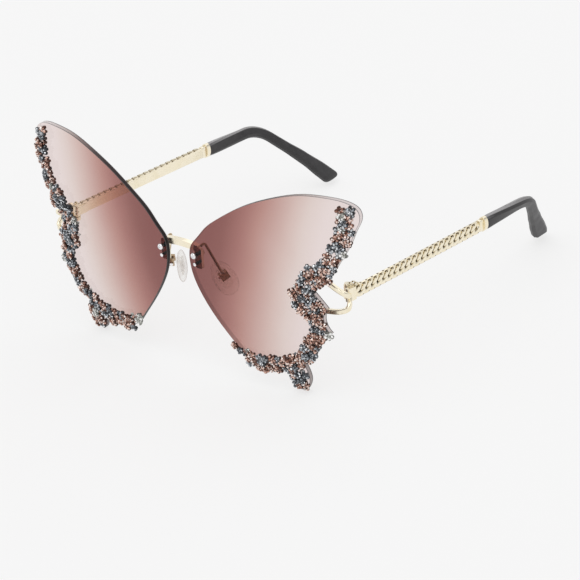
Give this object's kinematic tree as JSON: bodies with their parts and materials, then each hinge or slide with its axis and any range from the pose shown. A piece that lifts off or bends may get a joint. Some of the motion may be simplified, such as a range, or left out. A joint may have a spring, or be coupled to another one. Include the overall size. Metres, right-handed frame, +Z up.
{
  "type": "butterfly sunglasses",
  "caption": "Rimless sunglasses with butterfly-shaped tinted lenses, jewelled outer edges, folding chain-pattern temples and rocking nose pads.",
  "frame": {"origin": "middle of the footprint of the open sunglasses, on the table that they stand on", "axes": "+X to the wearer's left, +Y back along the temples, +Z up"},
  "size_m": [0.1516, 0.1498, 0.0772],
  "materials": {
    "lens_tint": "smooth, graduated from rose brown at the nose to nearly clear pink outside",
    "gold_metal": "polished pale gold plate",
    "silver_metal": "polished",
    "copper_crystal": "faceted, metallic rose copper coating",
    "grey_crystal": "faceted, dark blue-grey mirror coating",
    "clear_crystal": "faceted, clear",
    "pad_silicone": "satin, slightly cloudy",
    "pad_plate": "smooth",
    "tip_plastic": "satin, nearly black",
    "washer_plastic": "clear",
    "core_steel": "drawn"
  },
  "bodies": {
    "front": {"bridge": "gold_metal", "bridge_nuts": "gold_metal", "bridge_pins": "silver_metal", "bridge_screws": "silver_metal", "bridge_washers": "washer_plastic", "end_piece_bushes": "washer_plastic", "end_piece_left": "gold_metal", "end_piece_right": "gold_metal", "end_piece_screws": "gold_metal", "flowers_copper_lower_left": "copper_crystal", "flowers_copper_lower_right": "copper_crystal", "flowers_copper_middle_left": "copper_crystal", "flowers_copper_middle_right": "copper_crystal", "flowers_copper_upper_left": "copper_crystal", "flowers_copper_upper_right": "copper_crystal", "flowers_grey_lower_left": "grey_crystal", "flowers_grey_lower_right": "grey_crystal", "flowers_grey_middle_left": "grey_crystal", "flowers_grey_middle_right": "grey_crystal", "flowers_grey_upper_left": "grey_crystal", "flowers_grey_upper_right": "grey_crystal", "hinge_screws": "gold_metal", "lens_left": "lens_tint", "lens_right": "lens_tint", "pad_arm_left": "gold_metal", "pad_arm_right": "gold_metal", "pad_box_left": "gold_metal", "pad_box_right": "gold_metal", "pad_screws": "silver_metal", "stones_lower_left": "clear_crystal", "stones_lower_right": "clear_crystal", "stones_middle_left": "clear_crystal", "stones_middle_right": "clear_crystal", "stones_upper_left": "clear_crystal", "stones_upper_right": "clear_crystal"},
    "left_temple": {"temple_left": "gold_metal", "ferrule_left": "gold_metal", "core_wire_left": "core_steel", "temple_tip_left": "tip_plastic"},
    "right_temple": {"temple_right": "gold_metal", "ferrule_right": "gold_metal", "core_wire_right": "core_steel", "temple_tip_right": "tip_plastic"},
    "left_nose_pad": {"nose_pad_left": "pad_silicone", "pad_insert_left": "pad_plate"},
    "right_nose_pad": {"nose_pad_right": "pad_silicone", "pad_insert_right": "pad_plate"}
  },
  "joints": [
    {"name": "left_temple_fold", "type": "hinge", "parent": "front", "child": "left_temple", "pos_m": [0.0643, -0.05835, 0.03915], "axis": [0, 0.0802, 0.9968], "range_deg": [0, 87]},
    {"name": "right_temple_fold", "type": "hinge", "parent": "front", "child": "right_temple", "pos_m": [-0.0643, -0.05835, 0.03915], "axis": [0, -0.0802, -0.9968], "range_deg": [0, 66]},
    {"name": "left_nose_pad_rock", "type": "hinge", "parent": "front", "child": "left_nose_pad", "pos_m": [0.0122, -0.06455, 0.0353], "axis": [-0.4286, -0.806, -0.4082], "range_deg": [-10, 10]},
    {"name": "right_nose_pad_rock", "type": "hinge", "parent": "front", "child": "right_nose_pad", "pos_m": [-0.0122, -0.06455, 0.0353], "axis": [-0.4286, 0.806, 0.4082], "range_deg": [-10, 10]}
  ]
}
